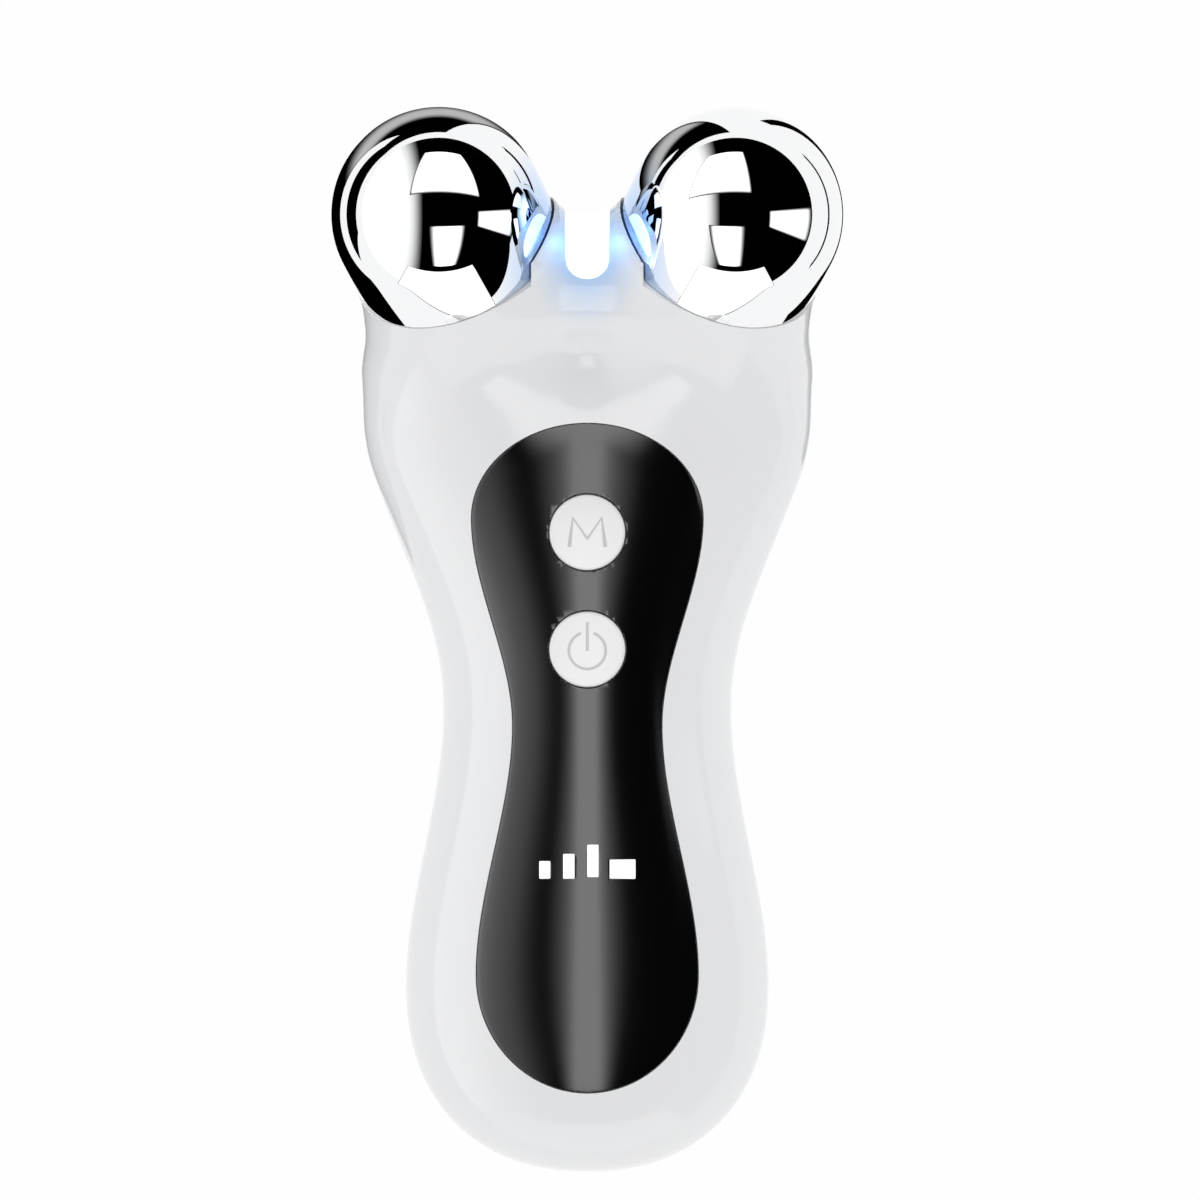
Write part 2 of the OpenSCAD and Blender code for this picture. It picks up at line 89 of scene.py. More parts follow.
class TonerSizes(bpy.types.PropertyGroup):
    wall: length_mm("Cover wall", "Thickness of the two white covers", 2.4)
    voxel: length_mm("Mesh step", "Edge length of the covers' mesh", 0.6)
    panel_thickness: length_mm("Panel thickness", "Thickness of the black panel", 1.0)
    cap_diameter: length_mm("Button diameter", "Diameter of a button cap", 9.5)
    cap_edge: length_mm("Button edge", "Rounding of a button's upper edge", 0.4)
    strip_width: length_mm("Strip width", "Width of the light strip", 5.4)
    seam: length_mm("Seam", "Width of the groove between the covers", 0.12)


class TonerColours(bpy.types.PropertyGroup):
    cover: colour("Covers", "Glossy white of the covers", (0.83, 0.835, 0.845))
    panel: colour("Panel", "Glossy black of the panel", (0.004, 0.004, 0.005))
    cap: colour("Buttons", "Satin white of the buttons", (0.85, 0.85, 0.855))
    mark: colour("Marks", "Pale grey of the marks on the buttons", (0.55, 0.55, 0.56))
    glow: colour("Light", "Colour of the lit strip", (0.86, 0.97, 1.0))
    # painted light: the blue of the strip's light, painted into the colour of the covers and heads near the
    # strip; the two glow lamps take it too
    halo: colour("Halo", "Colour that the strip throws on its neighbours", (0.3, 0.56, 0.98))
    metal: colour("Heads", "Bright metal of the heads", (0.93, 0.935, 0.945))


# ---------------- form of the body

def row(points):
    """Points given from the bottom end and the full back, in mm, as points of the frame, in metres."""
    points = np.asarray(points, float)
    return (points - np.array([0, LENGTH / 2, REST_CUT])) * MM


def unrow(points):
    return np.asarray(points, float) / MM + np.array([0, LENGTH / 2, REST_CUT])


def step(t):
    t = np.clip(t, 0, 1)
    return t * t * (3 - 2 * t)


def soft_min(p, q, k):
    h = np.maximum(k - np.abs(p - q), 0) / k
    return np.minimum(p, q) - h * h * k / 4


def soft_max(p, q, k):
    return -soft_min(-p, -q, k)


# half widths of the handle and how far they lie from the bottom end, in mm
GRIP_W, GRIP_Y, WAIST_W, WAIST_Y, SHOULDER_W, SHOULDER_Y = 22.7, 23.4, 18.05, 57.8, 27.82, 94.9
# roundness of the bottom end from the front, from the side, and of the section
END_N, END_NZ, SEC_N = 2.25, 3.2, 2.35


def end_share(y, n):
    """What the bottom end's rounding leaves of a half width or height."""
    return np.maximum(1 - np.clip((GRIP_Y - y) / GRIP_Y, 0, 1) ** n, 1e-9) ** (1 / n)


def half_width(y):
    end = GRIP_W * end_share(y, END_N)
    low = GRIP_W + (WAIST_W - GRIP_W) * step((y - GRIP_Y) / (WAIST_Y - GRIP_Y))
    rise = np.clip((y - WAIST_Y) / (SHOULDER_Y - WAIST_Y), 0, 1) ** 1.1
    high = WAIST_W + (SHOULDER_W - WAIST_W) * step(rise)
    return np.where(y < GRIP_Y, end, np.where(y < WAIST_Y, low, high))


def half_height(y):
    return HALF_T * end_share(y, END_NZ)


def capsule(x, y, z, a, b, radius):
    """Signed distance to a round bar from a to b."""
    a, b = np.array(a, float), np.array(b, float)
    d = b - a
    px, py, pz = x - a[0], y - a[1], z - a[2]
    t = np.clip((px * d[0] + py * d[1] + pz * d[2]) / (d @ d), 0, 1)
    return np.sqrt((px - t * d[0]) ** 2 + (py - t * d[1]) ** 2 + (pz - t * d[2]) ** 2) - radius


def handle(x, y, z):
    """Signed measure of the handle's long form alone."""
    w, h = half_width(y), half_height(y)
    q = ((np.abs(x) / w) ** SEC_N + (np.abs(z - HALF_T) / h) ** SEC_N + 1e-12) ** (1 / SEC_N)
    return (q - 1) * np.minimum(w, h)


STRUT = ((18.8, 106.44, 22.82), (16.8, 92.0, 16.0), 5.77)   # bar under a stem: its ends and radius
ROOT = RIM - 21.5 * AXIS                            # where a stem's axis ends in the handle
TOP_END = ((0, 104.0, 18.0), (0, 0.94, 0.341))      # where the handle's front ends, and its outward side
BACK_END = ((0, 100.0, 0.0), (0, 0.6, -0.8))        # the same for its back
SIDES = ((1, np.array([1, 1, 1])), (-1, np.array([-1, 1, 1])))
STUB = 1.2                                          # a stem goes on past its rim until the socket is cut
# over how many mm two forms flow into each other; middle is the fold between the two sides
BLEND = dict(middle=6.0, top=5.0, back=8.0, strut=7.0, saddle=4.0, neck=6.0)
END_INSET = 0.05                                    # keeps the round end inside the frame's box


def past(plane, y, z):
    (_, y0, z0), (_, ny, nz) = plane
    return (y - y0) * ny + (z - z0) * nz


def past_rim(x, y, z):
    return (np.abs(x) - RIM[0]) * AXIS[0] + (y - RIM[1]) * AXIS[1] + (z - RIM[2]) * AXIS[2]


def body(p):
    """Signed measure of the whole body, negative inside; p holds points in mm."""
    x, y, z = p[..., 0], p[..., 1], p[..., 2]
    side = soft_max(x, -x, BLEND["middle"])
    lower = soft_max(handle(x, y, z), past(TOP_END, y, z), BLEND["top"])
    lower = soft_max(lower, past(BACK_END, y, z), BLEND["back"])
    lower = soft_min(lower, capsule(side, y, z, *STRUT), BLEND["strut"])
    stem = np.maximum(capsule(side, y, z, HEAD, ROOT, HEAD_R), past_rim(x, y, z) - STUB)
    saddle = capsule(side, y, z, (0, *SADDLE), (9, *SADDLE), SADDLE_R)
    return soft_min(lower, soft_min(stem, saddle, BLEND["saddle"]), BLEND["neck"])


def cavity(p):
    """The same for the space inside the covers."""
    x, y, z = p[..., 0], p[..., 1], p[..., 2]
    inner = soft_max(body(p) + sizes().wall / MM, 2.6 - y, 3.0)
    inner = np.maximum(inner, past_rim(x, y, z) + SOCKET_FLOOR)
    return soft_min(inner, capsule(x, y, z, (-1, *SADDLE), (1, *SADDLE), SADDLE_R - sizes().wall / MM), 1.0)


def settle(points, field):
    """Moves points onto the surface of a field along its gradient."""
    q = np.array(points, float)
    rounds, probe, longest = 8, 0.05, 0.8
    for _ in range(rounds):
        f = field(q)
        g = np.stack([(field(q + probe * e) - field(q - probe * e)) / (2 * probe) for e in np.eye(3)], -1)
        move = (f / np.maximum((g * g).sum(-1), 1e-6))[:, None] * g
        size = np.linalg.norm(move, axis=1, keepdims=True)
        q = q - move * np.minimum(1, longest / np.maximum(size, 1e-9))
    return q


def settle_body(points):
    """Moves points onto the body, from inside for the round bottom end, where the gradient is flat."""
    p = np.array(points, float)
    low = p[:, 1] < GRIP_Y
    p[~low] = settle(p[~low], body)
    centre = np.array([0, GRIP_Y, HALF_T])
    ray = p[low] - centre
    ray /= np.linalg.norm(ray, axis=1, keepdims=True)
    p[low] = centre + ray * reach(centre, ray, 0, 40)[:, None]
    p[:, 1] = np.maximum(p[:, 1], END_INSET)
    return p


def outside(p):
    return (p[..., 1] <= 1e-4) | (body(p) > 0)


def reach(start, ray, near, far):
    """Distance along each ray at which it leaves the body."""
    lo, hi = np.full(len(ray), float(near)), np.full(len(ray), float(far))
    for _ in range(40):
        mid = (lo + hi) / 2
        out = outside(start + ray * mid[:, None])
        hi, lo = np.where(out, mid, hi), np.where(out, lo, mid)
    return (lo + hi) / 2


def front_z(x, y):
    """Height of the front surface over x, y, all in mm."""
    x, y = np.broadcast_arrays(np.asarray(x, float), np.asarray(y, float))
    start = np.stack([x.ravel(), y.ravel(), np.full(x.size, HALF_T)], -1)
    ray = np.tile([0.0, 0.0, 1.0], (x.size, 1))
    return (HALF_T + reach(start, ray, 0, 30)).reshape(x.shape)


PANEL_GAP, RECESS_DEPTH = 0.15, 1.2
# upper lobe, waist, lower lobe: half width, its place and, for the lobes, where they end
PANEL = ((14.4, 81.8, 93.56), (9.25, 55.9), (13.8, 24.7, 10.06))


def panel_outline(grow):
    (a, top_y, top_end), (b, mid), (c, low_y, low_end) = PANEL
    return a + grow, top_y, top_end + grow, b + grow, mid, c + grow, low_y, low_end - grow


def panel_half(y, grow):
    a, top_y, top_end, b, mid, c, low_y, low_end = panel_outline(grow)
    upper = a * np.sqrt(np.clip(1 - ((y - top_y) / (top_end - top_y)) ** 2, 0, 1))
    lower = c * np.sqrt(np.clip(1 - ((low_y - y) / (low_y - low_end)) ** 2, 0, 1))
    between = np.where(y > mid, b + (a - b) * step((y - mid) / (top_y - mid)),
                       b + (c - b) * step((mid - y) / (mid - low_y)))
    return np.where(y > top_y, upper, np.where(y < low_y, lower, between))


def panel_rows(grow):
    """Where the panel's mesh has its rows, closer together toward its round ends."""
    _, top_y, top_end, _, _, _, low_y, low_end = panel_outline(grow)
    ends, middle = 22, 70
    a = np.linspace(0, math.pi / 2, ends + 1)
    return np.concatenate([low_y - (low_y - low_end) * np.cos(a)[:-1],
                           np.linspace(low_y, top_y, middle + 1),
                           top_y + (top_end - top_y) * np.sin(a)[1:]])


# ---------------- modelling helpers

def clear_selection():
    if bpy.context.object and bpy.context.object.mode != "OBJECT":
        bpy.ops.object.mode_set(mode="OBJECT")
    bpy.ops.object.select_all(action="DESELECT")


def make_active(piece):
    clear_selection()
    piece.select_set(True)
    bpy.context.view_layer.objects.active = piece


def named(name):
    piece = bpy.context.object
    piece.name = name
    piece.data.name = name
    return piece


def coords(piece):
    co = np.empty(len(piece.data.vertices) * 3, np.float32)
    piece.data.vertices.foreach_get("co", co)
    return co.reshape(-1, 3).astype(float)


def selected(piece):
    """The coordinates, and which of them belong to selected points."""
    co = coords(piece)
    chosen = np.empty(len(co), bool)
    piece.data.vertices.foreach_get("select", chosen)
    return co, chosen


def set_coords(piece, co):
    piece.data.vertices.foreach_set("co", np.asarray(co, np.float32).ravel())
    piece.data.update()


def modify(piece, kind, **settings):
    make_active(piece)
    modifier = piece.modifiers.new(kind.title(), kind)
    for key, value in settings.items():
        setattr(modifier, key, value)
    bpy.ops.object.modifier_apply(modifier=modifier.name)


def bevel_corners(piece, width):
    modify(piece, "BEVEL", width=width * MM, segments=3, limit_method="ANGLE", angle_limit=math.radians(55))


def edit(piece, mode="VERT"):
    make_active(piece)
    bpy.ops.object.mode_set(mode="EDIT")
    bpy.ops.mesh.select_mode(type=mode)
    bpy.ops.mesh.select_all(action="SELECT")


def done():
    bpy.ops.object.mode_set(mode="OBJECT")


def bevel_edges(piece, offset, segments, chosen):
    """Rounds the edges whose two end points pass chosen(first, second)."""
    for edge in piece.data.edges:
        ends = [piece.data.vertices[i].co for i in edge.vertices]
        edge.select = chosen(*ends)
    make_active(piece)
    bpy.context.tool_settings.mesh_select_mode = (False, True, False)
    bpy.ops.object.mode_set(mode="EDIT")
    bpy.ops.mesh.bevel(offset=offset, segments=segments, affect="EDGES")
    done()


def tidy(piece, merge):
    edit(piece)
    bpy.ops.mesh.remove_doubles(threshold=merge)
    bpy.ops.mesh.normals_make_consistent(inside=False)
    done()


def smooth(piece, degrees):
    make_active(piece)
    bpy.ops.object.shade_smooth_by_angle(angle=math.radians(degrees))


def unite(pieces, name):
    clear_selection()
    for piece in pieces:
        piece.select_set(True)
    bpy.context.view_layer.objects.active = pieces[0]
    bpy.ops.object.join()
    return named(name)


def cut(piece, tool, operation="DIFFERENCE"):
    modify(piece, "BOOLEAN", operation=operation, solver="MANIFOLD", object=tool)
    bpy.data.objects.remove(tool)


def weld(piece, tool):
    cut(piece, tool, "UNION")


def bisect(piece, point, normal, fill):
    """Cuts away what lies past the plane, in mm and from the bottom end."""
    edit(piece)
    bpy.ops.mesh.bisect(plane_co=tuple(row(point)), plane_no=tuple(normal), clear_outer=True, use_fill=fill)
    done()


def primitive(kind, name, **settings):
    """A mesh primitive with its place and turn taken up into its points."""
    clear_selection()
    getattr(bpy.ops.mesh, "primitive_" + kind + "_add")(**settings)
    make_active(named(name))
    bpy.ops.object.transform_apply(location=True, rotation=True, scale=True)
    return bpy.context.object


def cube(low, high, name="cube"):
    """A block between two corners in mm."""
    low, high = row(low), row(high)
    return primitive("cube", name, size=1, location=tuple((low + high) / 2), scale=tuple(high - low))


def rod(start, end, radius, segments=64):
    """A closed round rod between two points in mm."""
    start, end = Vector(row(start)), Vector(row(end))
    span = end - start
    return primitive("cylinder", "rod", vertices=segments, radius=radius * MM, depth=span.length,
                     location=(start + end) / 2, rotation=span.to_track_quat("Z", "Y").to_euler())


def ball(centre, radius):
    return primitive("uv_sphere", "ball", segments=64, ring_count=32, radius=radius * MM,
                     location=tuple(row(centre)))


def grid(name, across, along, place):
    """A grid whose points are put by place(u, v), both from 0 to 1, in mm from the bottom end."""
    piece = primitive("grid", name, x_subdivisions=across, y_subdivisions=along, size=1)
    co = coords(piece)
    set_coords(piece, row(place(co[:, 0] + 0.5, co[:, 1] + 0.5)))
    return piece


def block_from(piece, lift):
    """Closes a grid into a block whose far side is put by lift(points), in mm."""
    edit(piece, "FACE")
    bpy.ops.mesh.extrude_region_move()
    done()
    co, chosen = selected(piece)
    co[chosen] = row(lift(unrow(co[chosen])))
    set_coords(piece, co)
    tidy(piece, 2e-6)


def panel_grid(name, across, grow, rise):
    """A grid within the panel's outline, rise mm over the front surface."""
    rows = panel_rows(grow)

    def place(u, v):
        y = rows[np.round(v * (len(rows) - 1)).astype(int)]
        x = (2 * u - 1) * panel_half(y, grow)
        return np.stack([x, y, front_z(x, y) + rise], -1)

    return grid(name, across, len(rows) - 1, place)


def cut_holes(piece, radius, segments, gap, bottom):
    """Frees the caps and, with a gap round them, the level windows."""
    for y in (MODE_Y, POWER_Y):
        cut(piece, rod((0, y, 16), (0, y, 45), radius, segments))
    for x, y, w, h in BARS:
        cut(piece, cube((x - w / 2 - gap, y - gap, bottom), (x + w / 2 + gap, y + h + gap, 45)))


def on_head(points, side):
    """Points given on a head's own axes, in mm, as points from the bottom end."""
    lean = Matrix.Rotation(LEAN - math.pi / 2, 3, "X")
    turn = Matrix.Rotation(-side * SPLAY, 3, "Z") @ lean
    return np.asarray(points) @ np.array(turn).T + RIM * np.array([side, 1, 1])


def finish_piece(piece, body_name, slot, material, *nodes):
    piece.data.materials.clear()
    piece.data.materials.append(material)
    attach(piece, body_name)
    if nodes:
        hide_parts(*nodes)


# ---------------- materials

def reckoned(operation, swapped=False):
    """A method that makes a maths node of a value and, where it takes one, another."""
    def method(self, *other):
        return self._math(operation, *((*other, self) if swapped else (self, *other)))
    return method


class Value:
    """A shader socket that is reckoned with like a number."""

    def __init__(self, paint, socket):
        self.paint, self.socket = paint, socket

    def _math(self, operation, *values, clamp=False):
        return self.paint.node("Math", dict(operation=operation, use_clamp=clamp), dict(enumerate(values)))

    __add__ = reckoned("ADD")
    __sub__ = reckoned("SUBTRACT")
    __rsub__ = reckoned("SUBTRACT", swapped=True)
    __mul__ = reckoned("MULTIPLY")
    __truediv__ = reckoned("DIVIDE")
    __gt__ = reckoned("GREATER_THAN")
    __lt__ = reckoned("LESS_THAN")
    power = reckoned("POWER")
    most = reckoned("MAXIMUM")
    size = reckoned("ABSOLUTE")
    sine = reckoned("SINE")
    exponential = reckoned("EXPONENT")

    def clamped(self):
        return self._math("ADD", self, 0.0, clamp=True)


class Paint:
    """The node tree of one material, lamp sky or floor."""

    def __init__(self, tree):
        self.tree = tree
        tree.nodes.clear()

    def node(self, kind, settings=None, sockets=None, out=0):
        made = self.tree.nodes.new("ShaderNode" + kind)
        for key, value in (settings or {}).items():
            if key == "stops":
                ramp = made.color_ramp
                while len(ramp.elements) < len(value):
                    ramp.elements.new(0.5)
                for element, (place, level) in zip(ramp.elements, value):
                    element.position = place
                    element.color = (level, level, level, 1)
            else:
                setattr(made, key, value)
        for key, value in (sockets or {}).items():
            if isinstance(value, Value):
                self.tree.links.new(value.socket, made.inputs[key])
            else:
                made.inputs[key].default_value = value
        return Value(self, made.outputs[out]) if len(made.outputs) else made

    def place(self, scale=(1, 1, 1)):
        """Object coordinates in mm, scaled."""
        where = self.node("TexCoord", out="Object")
        return self.node("Mapping", {}, {"Vector": where, "Scale": tuple(1000 * s for s in scale)})

    def noise(self, scale, detail=3.0, rough=0.5, stretch=(1, 1, 1)):
        return self.node("TexNoise", {}, {"Vector": self.place(stretch), "Scale": scale, "Detail": detail,
                                          "Roughness": rough}, "Fac")

    def axes(self):
        split = self.node("SeparateXYZ", {}, {0: self.place()})
        return [Value(self, out) for out in split.socket.node.outputs]

    def mix(self, factor, first, second):
        node = self.node("Mix", dict(data_type="RGBA"), {"Factor": factor}).socket.node
        for key, value in ((6, first), (7, second)):
            if isinstance(value, Value):
                self.tree.links.new(value.socket, node.inputs[key])
            else:
                node.inputs[key].default_value = (*value, 1)
        return Value(self, node.outputs[2])

    def bump(self, height, distance):
        """A bump whose height of 1 stands the given distance proud, in mm."""
        return self.node("Bump", {}, {"Height": height, "Distance": distance * MM, "Strength": 1.0})

    def surface(self, **sockets):
        names = {key.replace("_", " ").title(): value for key, value in sockets.items()}
        fixed = {("IOR" if key == "Ior" else key): value for key, value in names.items()}
        for key in ("Base Color", "Emission Color"):
            if key in fixed and not isinstance(fixed[key], Value):
                fixed[key] = (*fixed[key], 1)
        shader = self.node("BsdfPrincipled", {}, fixed)
        self.node("OutputMaterial", {}, {"Surface": shader})


def new_paint(name):
    material = bpy.data.materials.get(name) or bpy.data.materials.new(name)
    material.use_nodes = True
    return material, Paint(material.node_tree)


def finish(fill):
    """Lets a function that fills a paint take the material's name instead, and return the material."""
    def make(name, *values, **more):
        material, paint = new_paint(name)
        fill(paint, *values, **more)
        return material
    return make


def shade(tone, factor):
    return tuple(min(1.0, max(0.0, c * factor)) for c in tone)


@finish
def moulded(paint, tone, rough, vary=0.02, grain=0.6, depth=0.002, spread=0.03, **more):
    """A moulded finish: faint flow marks in the colour, a fine grain in gloss and surface."""
    flow = paint.noise(0.035, 2.0)
    fine = paint.noise(grain, 4.0, 0.6)
    paint.surface(base_color=paint.mix(flow, shade(tone, 1 - vary), shade(tone, 1 + vary)),
                  roughness=fine * spread + (rough - spread / 2),
                  normal=paint.bump(fine, depth), **more)


def near_strip(paint, full, none):
    """1 within full mm of the lit strip, 0 beyond none mm: where the strip's blue light is painted into its
    neighbours' colour.
    """
    x, y, z = paint.axes()
    y, z = y - (SADDLE[0] + 4.0 - LENGTH / 2), z - (SADDLE[1] + 6.5 - REST_CUT)
    away = (x * x + y * y * 0.6 + z * z * 0.6).power(0.5)
    return ((none - away) * (1 / (none - full))).clamped()


@finish
def gloss_white(paint, tone, halo):
    """Glossy white moulding: faint flow marks, a barely wavy skin, and the strip's blue light painted into
    its colour near the strip.
    """
    flow = paint.noise(0.03, 2.0)
    fine = paint.noise(0.5, 3.0, 0.5)
    plain = paint.mix(flow, shade(tone, 0.99), shade(tone, 1.008))
    # painted light: the strip's blue glow mixed into the base colour near the strip
    paint.surface(base_color=paint.mix(near_strip(paint, 3.5, 8.5).power(1.5) * 0.6, plain, halo),
                  roughness=fine * 0.02 + 0.09, ior=1.37, normal=paint.bump(fine, 0.0006))


@finish
def gloss_black(paint, tone):
    """Black lacquer with a bump like a faint roof along its middle, which the mesh doesn't have.

    It gathers light from above into one soft stripe, wider toward both ends of the panel."""
    flow = paint.noise(0.05, 2.0)
    fine = paint.noise(0.8, 3.0)
    x, y, z = paint.axes()
    narrowest, half_length, wider_above, wider_below = 57.0, 35.0, 0.65, 0.35
    along = (y + (LENGTH / 2 - narrowest)) * (1 / half_length)
    spread = along.most(0).power(2.0) * wider_above + (0 - along).most(0).power(2.0) * wider_below + 1.0
    across = x / spread
    rounding, steepness, height = 5.0, 0.4, 0.95
    fall = (across * across + rounding).power(0.5) * -steepness
    ridge = fall.exponential() * spread * height
    paint.surface(base_color=paint.mix(flow, shade(tone, 0.25), shade(tone, 0.4)),
                  roughness=fine * 0.02 + 0.1, ior=1.63, normal=paint.bump(ridge + fine * 0.0004, 1.0))


@finish
def bright_metal(paint, tone, rough=0.012, spread=0.012, streak=(1, 1, 1), grain=0.4, depth=0.0003,
                 halo=None):
    """Bright metal with a faint haze; with a halo colour, the strip's blue light is painted into its colour
    near the strip.
    """
    haze = paint.noise(grain, 4.0, 0.55, streak)
    cloud = paint.noise(0.05, 2.0)
    skin = paint.mix(cloud, shade(tone, 0.985), shade(tone, 1.005))
    if halo:
        # painted light: the strip's blue glow mixed into the metal's colour near the strip
        skin = paint.mix(near_strip(paint, 6.0, 13.0) * 0.75, skin, halo)
    paint.surface(base_color=skin, metallic=1.0, roughness=haze * spread + rough,
                  normal=paint.bump(haze, depth))


@finish
def glowing(paint, tone, strength, edge_tone, half=2.7):
    """A lit diffuser: brightest along its middle, a little bluer toward its edges."""
    x, y, z = paint.axes()
    edge = (x.size() / half).power(3.0).clamped()
    cloud = paint.noise(0.3, 2.0)
    light = paint.mix(edge * 0.8 + cloud * 0.1, tone, edge_tone)
    paint.surface(base_color=paint.mix(cloud, (0.8, 0.82, 0.84), (0.86, 0.88, 0.9)),
                  roughness=cloud * 0.1 + 0.3, emission_color=light, emission_strength=strength)


@finish
def circuit(paint):
    """Solder mask with copper runs under it and tinned pads."""
    black, white = (0, 0, 0, 1), (1, 1, 1, 1)
    runs = paint.node("TexBrick", {}, {"Vector": paint.place(), "Scale": 0.9, "Mortar Size": 0.09,
                                       "Mortar Smooth": 0.2, "Brick Width": 1.7, "Row Height": 0.8,
                                       "Color1": black, "Color2": black, "Mortar": white}, "Fac")
    pads = paint.node("TexVoronoi", {}, {"Vector": paint.place(), "Scale": 0.45}, "Distance") < 0.16
    mask = paint.mix(runs, (0.012, 0.13, 0.045), (0.03, 0.24, 0.09))
    paint.surface(base_color=paint.mix(pads, mask, (0.62, 0.6, 0.52)), metallic=pads * 0.9,
                  roughness=0.42 - pads * 0.14, normal=paint.bump(runs + pads, 0.02))


@finish
def windings(paint):
    """Dark ferrite with turns of lacquered wire round it."""
    x, y, z = paint.axes()
    turns = (z * 18.0).sine() * 0.5 + 0.5
    grit = paint.noise(2.0, 4.0)
    paint.surface(base_color=paint.mix(turns, (0.035, 0.033, 0.035), (0.09, 0.05, 0.025)),
                  roughness=grit * 0.2 + 0.35, normal=paint.bump(turns + grit * 0.3, 0.05))


@finish
def foil(paint):
    """Crinkled pouch foil of a flat cell."""
    crease = paint.node("TexVoronoi", dict(feature="DISTANCE_TO_EDGE"),
                        {"Vector": paint.place((1, 0.7, 1)), "Scale": 0.16}, "Distance")
    fine = paint.noise(0.6, 4.0)
    paint.surface(base_color=paint.mix(fine, (0.5, 0.52, 0.56), (0.62, 0.64, 0.67)), metallic=0.9,
                  roughness=fine * 0.15 + 0.28, normal=paint.bump(crease + fine * 0.2, 0.12))


@finish
def foam(paint):
    cells = paint.node("TexVoronoi", {}, {"Vector": paint.place(), "Scale": 2.2}, "Distance")
    paint.surface(base_color=paint.mix(cells, (0.018, 0.018, 0.02), (0.07, 0.07, 0.075)), roughness=0.95,
                  normal=paint.bump(cells, 0.15))


@finish
def insulation(paint, tone):
    """Soft wire insulation with a faint drawn line along it."""
    drawn = paint.noise(1.2, 3.0, 0.5, (1, 0.08, 1))
    paint.surface(base_color=paint.mix(drawn, shade(tone, 0.75), shade(tone, 1.2)),
                  roughness=drawn * 0.15 + 0.4, normal=paint.bump(drawn, 0.01))


@finish
def film(paint):
    """Adhesive film with a fibre tissue in it."""
    fibre = paint.noise(1.5, 6.0, 0.7, (1, 0.3, 1))
    paint.surface(base_color=paint.mix(fibre, (0.5, 0.46, 0.34), (0.68, 0.64, 0.52)),
                  roughness=0.7 - fibre * 0.2, normal=paint.bump(fibre, 0.01))


# ---------------- operators

def sizes():
    return bpy.context.scene.toner_sizes


def colours():
    return bpy.context.scene.toner_colours


